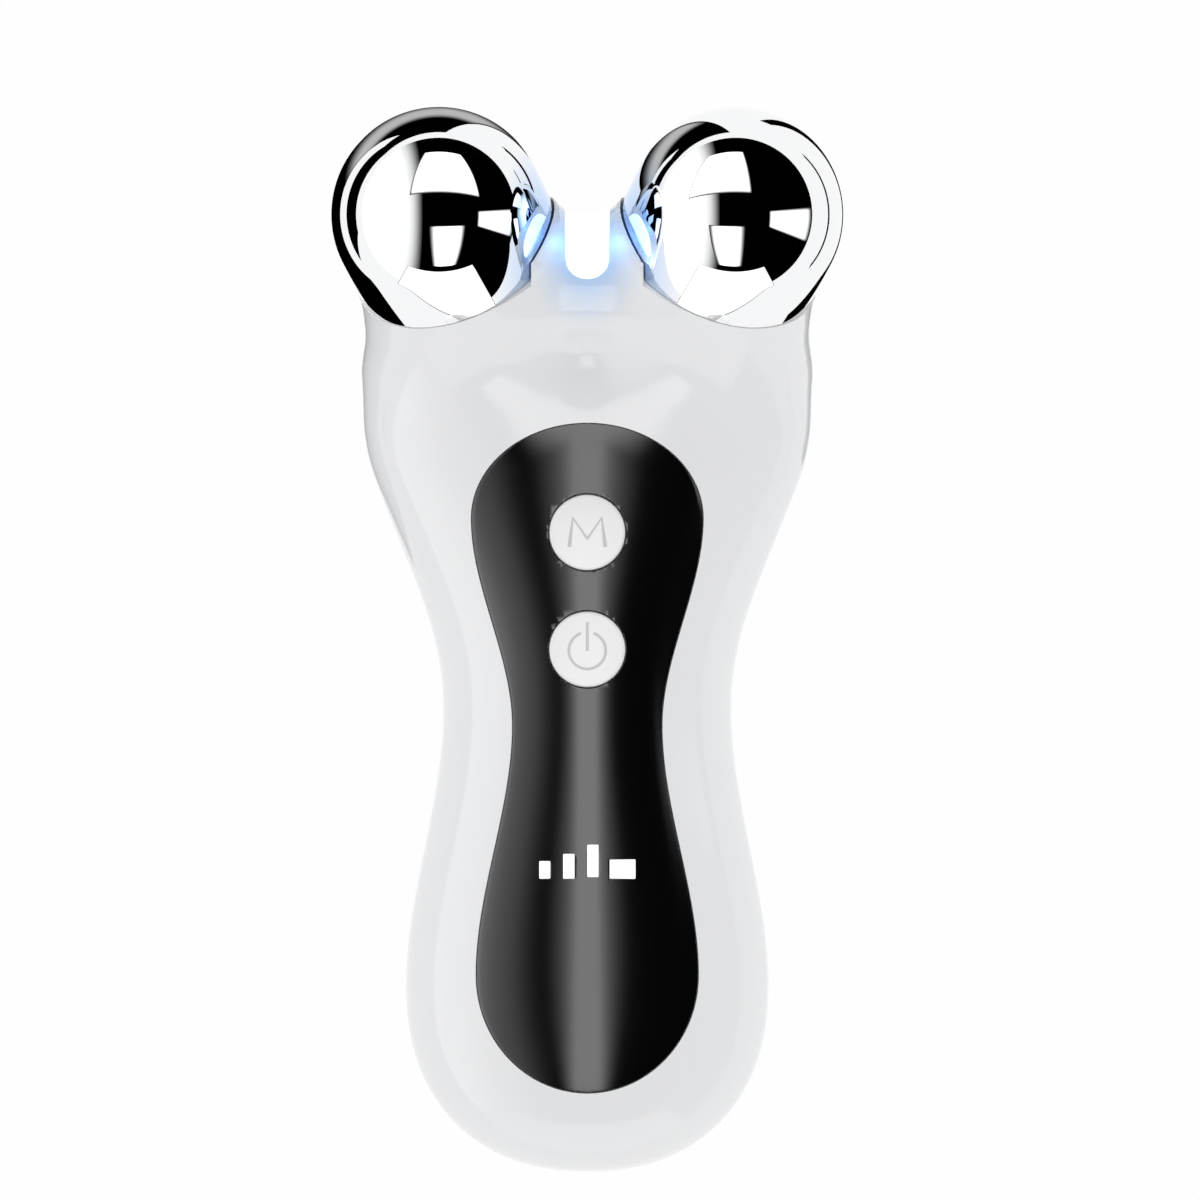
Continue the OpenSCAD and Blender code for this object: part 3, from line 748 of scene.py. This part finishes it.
class TONER_OT_covers(bpy.types.Operator):
    """Model the two glossy white covers as one blended form, split at the seam"""

    bl_idname = "toner.covers"
    bl_label = "White covers"

    def execute(self, context):
        form = self.form("form", 0.0, settle_body, sizes().voxel)
        self.cut_rims(form)
        cut(form, cube((-60, -10, -20), (60, 150, REST_CUT)))
        cut(form, self.form("hollow", sizes().wall / MM, lambda p: settle(p, cavity), 2 * sizes().voxel))
        self.cut_sockets(form)
        front, rear = form, form.copy()
        rear.data = form.data.copy()
        context.scene.collection.objects.link(rear)
        front.name, rear.name = "front_shell", "rear_shell"
        seam = sizes().seam / MM
        cut(front, cube((-60, -10, -20), (60, 150, HALF_T + seam / 2)))
        cut(rear, cube((-60, -10, HALF_T - seam / 2), (60, 150, 80)))
        boss, skin, floor = 3.2, 1.5, 1.6
        for x, y in BOSSES:
            top = float(front_z(abs(x) + boss, y)) - skin
            weld(front, rod((x, y, HALF_T + seam / 2), (x, y, top), boss))
            weld(rear, rod((x, y, floor), (x, y, HALF_T - seam / 2), boss))
        self.recess(front)
        for piece in (front, rear):
            cut(piece, self.port_tool())
            tidy(piece, 1e-7)
            smooth(piece, 32)
        white = gloss_white("gloss_white", colours().cover, tuple(colours().halo))
        finish_piece(front, "housing", "front_cover", white, "front_cover")
        finish_piece(rear, "housing", "rear_cover", white, "rear_cover")
        return {"FINISHED"}

    def form(self, name, inset, onto, step_length):
        """Rough solids joined and remeshed, then each point settled on the blended form."""
        loft = primitive("uv_sphere", "rough", segments=96, ring_count=96, radius=1)
        co = coords(loft)
        y = inset + (co[:, 2] + 1) / 2 * (107 - inset)
        a = np.arctan2(co[:, 1], co[:, 0])
        pole = np.hypot(co[:, 0], co[:, 1]) < 1e-5
        x = (half_width(y) - inset) * np.sign(np.cos(a)) * np.abs(np.cos(a)) ** (2 / SEC_N) * ~pole
        z = HALF_T + (half_height(y) - inset) * np.sign(np.sin(a)) * np.abs(np.sin(a)) ** (2 / SEC_N) * ~pole
        set_coords(loft, row(np.stack([x, y, z], -1)))
        for point, normal in (TOP_END, BACK_END):
            bisect(loft, np.array(point) - inset * np.array(normal), normal, True)
        parts = [loft]
        end = RIM + AXIS * (STUB if inset == 0 else -SOCKET_FLOOR)
        for side, m in SIDES:
            parts.append(rod(ROOT * m, end * m, HEAD_R - inset))
            parts.append(ball(ROOT * m, HEAD_R - inset))
            parts.append(rod(STRUT[0] * m, STRUT[1] * m, STRUT[2] - inset))
            parts.append(ball(STRUT[0] * m, STRUT[2] - inset))
        reach_x = 9 if inset == 0 else 3
        parts.append(rod((-reach_x, *SADDLE), (reach_x, *SADDLE), SADDLE_R - inset))
        form = unite(parts, name)
        modify(form, "REMESH", mode="VOXEL", voxel_size=step_length)
        modify(form, "SMOOTH", factor=0.5, iterations=8)
        for turns in (3, 2, 1):
            set_coords(form, row(onto(unrow(coords(form)))))
            modify(form, "SMOOTH", factor=0.5, iterations=turns)
        set_coords(form, row(onto(unrow(coords(form)))))
        return form

    def cut_rims(self, form):
        """Frees the space that a head takes, and all past its rim outside the saddle."""
        low = RIM + 0.02 * AXIS
        high = low + 24 * AXIS
        wide, saddle_half, clearance = 30.0, 7.0, 0.15
        for side, m in SIDES:
            outer = rod(low * m, high * m, wide, 4)
            bisect(outer, (side * saddle_half, 0, 0), (-side, 0, 0), True)
            cut(form, outer)
            cut(form, rod(low * m, high * m, HEAD_R + clearance, 160))

    def cut_sockets(self, form):
        for side, m in SIDES:
            for down, radius in ((5.6, HEAD_R - 2.25), (9.0, 1.6)):
                cut(form, rod((RIM - down * AXIS) * m, (RIM + AXIS) * m, radius, 96))

    def recess(self, front):
        pocket = panel_grid("pocket", 40, PANEL_GAP, -RECESS_DEPTH)
        block_from(pocket, lambda p: np.stack([p[:, 0], p[:, 1], np.full(len(p), 45.0)], -1))
        cut(front, pocket)
        cut_holes(front, 5.1, 64, 0.1, 15.5)
        cut(front, strip_block("groove", 0.1, 1.7, 4.0))

    def port_tool(self):
        tool = cube((-4.8, -2, HALF_T - 1.9), (4.8, 6, HALF_T + 1.9), "port_tool")
        edit(tool, "EDGE")
        bpy.ops.mesh.select_all(action="DESELECT")
        done()
        bevel_edges(tool, 1.88 * MM, 12, lambda a, b: abs(a.y - b.y) > 4 * MM)
        return tool


def saddle_axis(x):
    return np.stack([x, np.full(len(x), SADDLE[0]), np.full(len(x), SADDLE[1])], -1)


def strip_surface(u, v, grow, lift):
    """Points of the strip over the saddle: u across, v from its round end to its far end."""
    half = sizes().strip_width / MM / 2 + grow
    tip_y = SADDLE[0] + 0.3 - grow
    x = (2 * u - 1) * half
    # the round end starts later toward the sides
    first = tip_y + half - np.sqrt(np.clip(half * half - x * x, 0, None))
    theta_first = np.arccos(np.clip((first - SADDLE[0]) / 8.1, -1, 1))
    theta = theta_first + (math.radians(-14) - theta_first) * v
    start = saddle_axis(x)
    ray = np.stack([np.zeros(len(x)), np.cos(theta), np.sin(theta)], -1)
    return start + ray * (reach(start, ray, 2, 16) + lift)[:, None]


def strip_block(name, grow, depth, lift):
    piece = grid(name, 24, 40, lambda u, v: strip_surface(u, v, grow, lift))

    def inward(p):
        toward = p - saddle_axis(p[:, 0])
        size = np.linalg.norm(toward, axis=1, keepdims=True)
        return p - toward / size * (depth + lift)

    block_from(piece, inward)
    return piece


class TONER_OT_panel(bpy.types.Operator):
    """Model the glossy black panel, flush with the front, with its button and window holes"""

    bl_idname = "toner.panel"
    bl_label = "Black panel"

    def execute(self, context):
        panel = panel_grid("panel", 56, 0.0, 0.02)
        thickness = sizes().panel_thickness / MM
        block_from(panel, lambda p: p - np.array([0, 0, thickness]))
        cut_holes(panel, sizes().cap_diameter / MM / 2 + 0.18, 96, 0.03, 16)
        tidy(panel, 1e-7)
        bevel_corners(panel, 0.16)
        smooth(panel, 15)
        finish_piece(panel, "housing", "control_panel", gloss_black("gloss_black", colours().panel),
                     "control_panel")
        return {"FINISHED"}


class TONER_OT_caps(bpy.types.Operator):
    """Model the two round push buttons with their marks"""

    bl_idname = "toner.caps"
    bl_label = "Push buttons"

    def execute(self, context):
        white = moulded("satin_white", colours().cap, 0.3, 0.01, 1.2, 0.001, 0.05, ior=1.5)
        grey = moulded("mark_grey", colours().mark, 0.35, 0.02, 1.5, 0.0008, 0.04)
        for name, y, body_name in (("mode", MODE_Y, "mode_cap"), ("power", POWER_Y, "power_cap")):
            cap = self.cap(name + "_cap_piece", y, name + "_button")
            finish_piece(cap, body_name, "buttons", white, name + "_button")
            mark = self.mode_mark(y) if name == "mode" else self.power_mark(y)
            finish_piece(mark, body_name, "buttons", grey)
        return {"FINISHED"}

    def cap(self, name, y, node):
        """A turned cap with a flat top, a rounded edge, a flange and a hollow underside."""
        low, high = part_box(node)
        radius = sizes().cap_diameter / 2
        cap = self.disc(name, y, radius, high.z - low.z, (high.z + low.z) / 2)
        bevel_edges(cap, sizes().cap_edge, 6, lambda a, b: min(a.z, b.z) > high.z - 1e-5)
        # flange under the panel
        flange = self.disc("flange", y, radius + 0.3 * MM, 0.5 * MM, low.z + 0.25 * MM)
        weld(cap, flange)
        under = low.z / MM + REST_CUT
        hollow = rod((0, y, under - 1), (0, y, under + 1.4), 3.55)
        cut(hollow, rod((0, y, under - 2), (0, y, under + 3), 2.1))
        cut(cap, hollow)
        smooth(cap, 35)
        return cap

    def disc(self, name, y, radius, depth, z):
        return primitive("cylinder", name, vertices=96, radius=radius, depth=depth,
                         location=(0, (y - LENGTH / 2) * MM, z))

    def stroke(self, points, width, y, name):
        """A flat line of printing ink along points, in mm from the cap's centre."""
        curve = bpy.data.curves.new(name, "CURVE")
        curve.dimensions = "3D"
        spline = curve.splines.new("POLY")
        spline.points.add(len(points) - 1)
        for target, (across, along) in zip(spline.points, points):
            target.co = (across * MM, along * MM, 0, 1)
        curve.bevel_depth = width / 2 * MM
        curve.bevel_resolution = 4
        curve.use_fill_caps = True
        piece = bpy.data.objects.new(name, curve)
        bpy.context.scene.collection.objects.link(piece)
        make_active(piece)
        bpy.ops.object.convert(target="MESH")
        piece = named(name)
        # pressed flat into the crown, only a hair proud of it
        co = coords(piece)
        co[:, 2] *= 0.12
        co += np.array([0, (y - LENGTH / 2) * MM, (CAP_TOP - REST_CUT) * MM])
        set_coords(piece, co)
        return piece

    def power_mark(self, y):
        turn = [math.radians(90 + a) for a in np.linspace(20, 340, 60)]
        radius, drop, width = 2.3, 0.15, 0.34
        ring = [(radius * math.cos(a), radius * math.sin(a) - drop) for a in turn]
        arc = self.stroke(ring, width, y, "power_mark")
        bar = self.stroke([(0, -0.2), (0, 3.4)], width, y, "power_line")
        return unite([arc, bar], "power_mark")

    def mode_mark(self, y):
        zigzag = [(-2.25, -1.8), (-1.8, 1.8), (0, -0.8), (1.8, 1.8), (2.25, -1.8)]
        return self.stroke(zigzag, 0.5, y, "mode_mark")


class TONER_OT_heads(bpy.types.Operator):
    """Model the two bright metal heads: a ball on a short round neck that enters its socket"""

    bl_idname = "toner.heads"
    bl_label = "Metal heads"

    def execute(self, context):
        metal = bright_metal("mirror_chrome", colours().metal, halo=tuple(colours().halo))
        for side, node in ((1, "right_electrode"), (-1, "left_electrode")):
            head = primitive("uv_sphere", "right_head" if side > 0 else "left_head",
                             segments=160, ring_count=96, radius=HEAD_R * MM)
            edit(head)
            bpy.ops.mesh.bisect(plane_co=(0, 0, 0), plane_no=(0, 0, -1), clear_outer=True, use_fill=False)
            done()
            neck = HEAD_NECK * MM
            for drop, radius in ((neck - 0.3 * MM, HEAD_R), (neck - 0.12 * MM, HEAD_R - 0.06),
                                 (neck - 0.07 * MM, HEAD_R - 0.2), (neck - 0.07 * MM, HEAD_R - 2.45),
                                 (neck + 5 * MM, HEAD_R - 2.45)):
                self.extend(head, -drop, radius * MM)
            self.pick_open_edge(head)
            bpy.ops.mesh.edge_face_add()
            done()
            co = coords(head) / MM + np.array([0, 0, HEAD_NECK])
            set_coords(head, row(on_head(co, side)))
            tidy(head, 1e-7)
            smooth(head, 30)
            finish_piece(head, "housing", "electrodes", metal, node)
        return {"FINISHED"}

    def pick_open_edge(self, head):
        edit(head, "EDGE")
        bpy.ops.mesh.select_all(action="DESELECT")
        bpy.ops.mesh.select_non_manifold()

    def extend(self, head, level, radius):
        """Extrudes the open edge down to a level and a radius."""
        self.pick_open_edge(head)
        bpy.ops.mesh.extrude_region_move()
        done()
        co, chosen = selected(head)
        ring = co[chosen]
        ring[:, :2] *= (radius / np.hypot(ring[:, 0], ring[:, 1]))[:, None]
        ring[:, 2] = level
        co[chosen] = ring
        set_coords(head, co)


class TONER_OT_strip(bpy.types.Operator):
    """Model the lit diffuser strip that lies over the saddle"""

    bl_idname = "toner.strip"
    bl_label = "Light strip"

    def execute(self, context):
        strip = strip_block("glow_strip", 0.0, 1.5, 0.12)
        bevel_corners(strip, 0.2)
        smooth(strip, 40)
        light = glowing("lit_diffuser", colours().glow, 1.0, shade(colours().glow, 0.92))
        finish_piece(strip, "housing", "light_strip", light, "light_strip")
        return {"FINISHED"}


class TONER_OT_lenses(bpy.types.Operator):
    """Model the four level windows as softly edged lenses"""

    bl_idname = "toner.lenses"
    bl_label = "Level windows"

    def execute(self, context):
        lenses = []
        for x, y, w, h in BARS:
            top = float(front_z(x, y + h / 2)) + 0.02
            lens = cube((x - w / 2, y, 24), (x + w / 2, y + h, top), "lens")
            modify(lens, "BEVEL", width=0.12 * MM, segments=3)
            lenses.append(lens)
        piece = unite(lenses, "level_windows")
        smooth(piece, 40)
        light = glowing("lens_white", (0.93, 0.94, 0.95), 0.55, (0.9, 0.91, 0.93), 7.0)
        finish_piece(piece, "housing", "level_lenses", light, "level_lenses")
        return {"FINISHED"}


class TONER_OT_inside(bpy.types.Operator):
    """Give every part inside the covers its own finish"""

    bl_idname = "toner.inside"
    bl_label = "Inner finishes"

    def execute(self, context):
        black = moulded("matte_black", (0.022, 0.022, 0.025), 0.5, 0.2, 1.6, 0.01, 0.1)
        steel = bright_metal("screw_steel", (0.56, 0.56, 0.58), 0.22, 0.15, (1, 1, 4), 1.5, 0.004)
        finishes = {
            "panel_tape": film("fibre_tape"),
            "mode_switch": black,
            "power_switch": black,
            "mode_plunger": moulded("amber_nylon", (0.55, 0.33, 0.06), 0.4, 0.08, 1.4, 0.006, 0.08),
            "level_leds": moulded("clear_resin", (0.8, 0.8, 0.66), 0.15, 0.05, 1.5, 0.003, 0.06),
            "light_board": circuit("green_mask"),
            "electrode_screws": steel,
            "contact_tabs": bright_metal("plated_brass", (0.72, 0.55, 0.24), 0.2, 0.1, (1, 3, 1), 1.2, 0.003),
            "seal_rings": moulded("black_rubber", (0.018, 0.018, 0.018), 0.65, 0.15, 1.8, 0.008, 0.1),
            "controller_chip": moulded("chip_epoxy", (0.02, 0.02, 0.022), 0.45, 0.12, 2.5, 0.006, 0.12),
            "boost_coil": windings("coil_windings"),
            "lead_sockets": moulded("ivory_nylon", (0.72, 0.68, 0.53), 0.4, 0.04, 1.2, 0.005, 0.08),
            "battery": foil("pouch_foil"),
            "battery_pad": foam("dark_foam"),
            "charge_port": bright_metal("port_steel", (0.66, 0.66, 0.68), 0.16, 0.1, (4, 1, 1), 1.2, 0.002),
            "electrode_leads": insulation("red_insulation", (0.42, 0.012, 0.012)),
            "light_lead": insulation("white_insulation", (0.74, 0.74, 0.74)),
            "charge_lead": insulation("black_insulation", (0.02, 0.02, 0.021)),
        }
        same = {"power_plunger": "mode_plunger", "light_leds": "level_leds", "main_board": "light_board",
                "charge_board": "light_board", "board_screws": "electrode_screws",
                "case_screws": "electrode_screws", "battery_lead": "electrode_leads"}
        finishes.update({node: finishes[like] for node, like in same.items()})
        for node, material in finishes.items():
            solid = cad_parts[node]
            for slot in solid.material_slots:
                slot.material = material
            if not solid.material_slots:
                solid.data.materials.append(material)
        return {"FINISHED"}


class TONER_OT_stage(bpy.types.Operator):
    """Set the pale floor, the light cards and dark flags, the lamps and the camera"""

    bl_idname = "toner.stage"
    bl_label = "Studio"

    def execute(self, context):
        scene = context.scene
        scene.view_settings.view_transform = "Standard"
        self.floor()
        self.sky(scene)
        self.cards()
        self.glow_lamps()
        camera = bpy.data.cameras.new("camera")
        camera.type = "PERSP"
        camera.lens, camera.sensor_width = 1440, 36
        camera.clip_start, camera.clip_end = 0.5, 30
        eye = bpy.data.objects.new("camera", camera)
        scene.collection.objects.link(eye)
        eye.location = (1.59 * MM, 5.0 * MM, 6.024)
        scene.camera = eye
        return {"FINISHED"}

    def floor(self):
        floor = primitive("circle", "floor", vertices=128, radius=4, fill_type="NGON",
                          location=(0, 0, -0.0002))
        material, paint = new_paint("pale_floor")
        path = paint.node("LightPath").socket.node
        seen = (Value(paint, path.outputs["Is Camera Ray"]) + Value(paint, path.outputs["Is Glossy Ray"])
                + Value(paint, path.outputs["Is Transmission Ray"])).clamped()
        grain = paint.noise(0.01, 3.0)
        matt = paint.node("BsdfDiffuse", {},
                          {"Color": paint.mix(grain, (0.86, 0.86, 0.86), (0.88, 0.88, 0.88))})
        white = paint.node("Emission", {}, {"Color": (1, 1, 1, 1), "Strength": 1.0})
        both = paint.node("MixShader", {}, {0: seen * 0.97, 1: matt, 2: white})
        paint.node("OutputMaterial", {}, {"Surface": both})
        floor.data.materials.append(material)

    def sky(self, scene):
        """A studio dome: plain light for matt surfaces, a large soft box on the left for gloss."""
        world = bpy.data.worlds.new("studio")
        scene.world = world
        world.use_nodes = True
        paint = Paint(world.node_tree)
        way = paint.node("TexCoord", out="Generated")
        split = paint.node("SeparateXYZ", {}, {0: way}).socket.node
        x, y, z = [Value(paint, out) for out in split.outputs]
        path = paint.node("LightPath").socket.node
        gloss = Value(paint, path.outputs["Is Glossy Ray"])
        # for gloss, a soft box fills the left side up to a straight edge left of the zenith
        stops = ((0.295, 0.0), (0.337, 0.05), (0.38, 0.13), (0.45, 0.27), (0.6, 0.45), (0.85, 1.0))
        left = paint.node("ValToRGB", dict(stops=stops), {0: 0 - x})
        brightest, lowest = 3.0, -0.27
        box = left * brightest * (z > lowest)
        # for matt surfaces, an even dome, a little brighter toward the horizon
        rise = 1 - z.most(0)
        plain = rise * rise * 0.7 + 0.79
        level = gloss * box + (1 - gloss) * plain
        light = paint.node("Background", {}, {"Color": (1, 1, 1, 1), "Strength": level})
        paint.node("OutputWorld", {}, {"Surface": light})

    def card(self, name, low, high, strength=0.0, soft=(0, 0)):
        """A flat card between two corners in mm, which only gloss sees; strength 0 makes a dark flag.

        soft gives how far the light fades toward the card's edges along its first and second side."""
        low, high = np.array(low, float), np.array(high, float)
        span = high - low
        flat = int(np.argmin(span))
        first, second = [i for i in range(3) if i != flat]
        card = primitive("plane", name, size=1)
        co = coords(card)
        out = np.tile((low + high) / 2, (len(co), 1))
        out[:, first] += co[:, 0] * span[first]
        out[:, second] += co[:, 1] * span[second]
        set_coords(card, out * MM)
        material, paint = new_paint(name)
        axes = paint.axes()
        fade = None
        for i, width in zip((first, second), soft):
            if width:
                inward = span[i] / 2 - (axes[i] - (low[i] + high[i]) / 2).size()
                part = paint.node("MapRange", dict(interpolation_type="SMOOTHSTEP"),
                                  {0: inward, 1: 0.0, 2: float(width)})
                fade = part if fade is None else fade * part
        tone = (1, 1, 1, 1) if fade is None else paint.mix(fade, (0, 0, 0), (1, 1, 1))
        light = paint.node("Emission", {}, {"Color": tone, "Strength": strength})
        paint.node("OutputMaterial", {}, {"Surface": light})
        card.data.materials.append(material)
        card.visible_camera = card.visible_diffuse = card.visible_shadow = False
        card.visible_transmission = card.visible_volume_scatter = False

    def cards(self):
        self.card("card_over_panel", (-37, -104, 136), (37, 31, 136), 3.1, (22, 4))
        self.card("card_beyond_heads", (-52, 75, 90), (36, 200, 90), 1.6, (4, 4))
        self.card("card_right", (170, -7, 41), (170, 68, 244), 1.4, (8, 20))
        self.card("card_front", (-200, -250, 0), (185, -250, 184), 1.5, (6, 6))
        # dark flags just over the floor, which give the bright metal its dark outlines
        for name, (x0, y0), (x1, y1) in (("far_left", (-240, 5), (-99, 155)), ("left", (-69, 5), (-32, 66)),
                                         ("behind", (-69, 66), (2, 155)), ("right", (33, 20), (41, 110)),
                                         ("far_behind", (-240, 155), (2, 300)),
                                         ("far_right", (90, 0), (99, 120))):
            self.card("flag_" + name, (x0, y0, 1), (x1, y1, 1))
        self.card("grey_behind", (-69, 68, 1.5), (2, 112, 1.5), 0.5, (4, 18))

    def glow_lamps(self):
        for side in (-1, 1):
            lamp = bpy.data.lights.new("strip_glow", "POINT")
            lamp.color = tuple(colours().halo)
            lamp.energy = 0.0003
            lamp.shadow_soft_size = 0.002
            piece = bpy.data.objects.new("strip_glow", lamp)
            bpy.context.scene.collection.objects.link(piece)
            piece.location = row((side * 3.4, SADDLE[0] + 5.5, SADDLE[1] + 8.5))
            piece.visible_glossy = False


class TONER_PT_sidebar(bpy.types.Panel):
    bl_label = "Facial toning device"
    bl_idname = "TONER_PT_sidebar"
    bl_space_type = "VIEW_3D"
    bl_region_type = "UI"
    bl_category = "Toning device"

    def draw(self, context):
        layout = self.layout
        for group in (context.scene.toner_sizes, context.scene.toner_colours):
            box = layout.box()
            for name in group.bl_rna.properties.keys():
                if name not in ("name", "rna_type"):
                    box.prop(group, name)
        for step_class in STEPS:
            layout.operator(step_class.bl_idname)


STEPS = (TONER_OT_covers, TONER_OT_panel, TONER_OT_caps, TONER_OT_heads, TONER_OT_strip, TONER_OT_lenses,
         TONER_OT_inside, TONER_OT_stage)
CLASSES = (TonerSizes, TonerColours) + STEPS + (TONER_PT_sidebar,)


def register():
    for one in CLASSES:
        bpy.utils.register_class(one)
    bpy.types.Scene.toner_sizes = bpy.props.PointerProperty(type=TonerSizes)
    bpy.types.Scene.toner_colours = bpy.props.PointerProperty(type=TonerColours)


def unregister():
    del bpy.types.Scene.toner_colours
    del bpy.types.Scene.toner_sizes
    for one in reversed(CLASSES):
        bpy.utils.unregister_class(one)


def main():
    register()
    for name in ("covers", "panel", "caps", "heads", "strip", "lenses", "inside", "stage"):
        if getattr(bpy.ops.toner, name)() != {"FINISHED"}:
            raise RuntimeError(name + " didn't finish")
    bpy.context.view_layer.update()


if __name__ == "__main__":
    main()
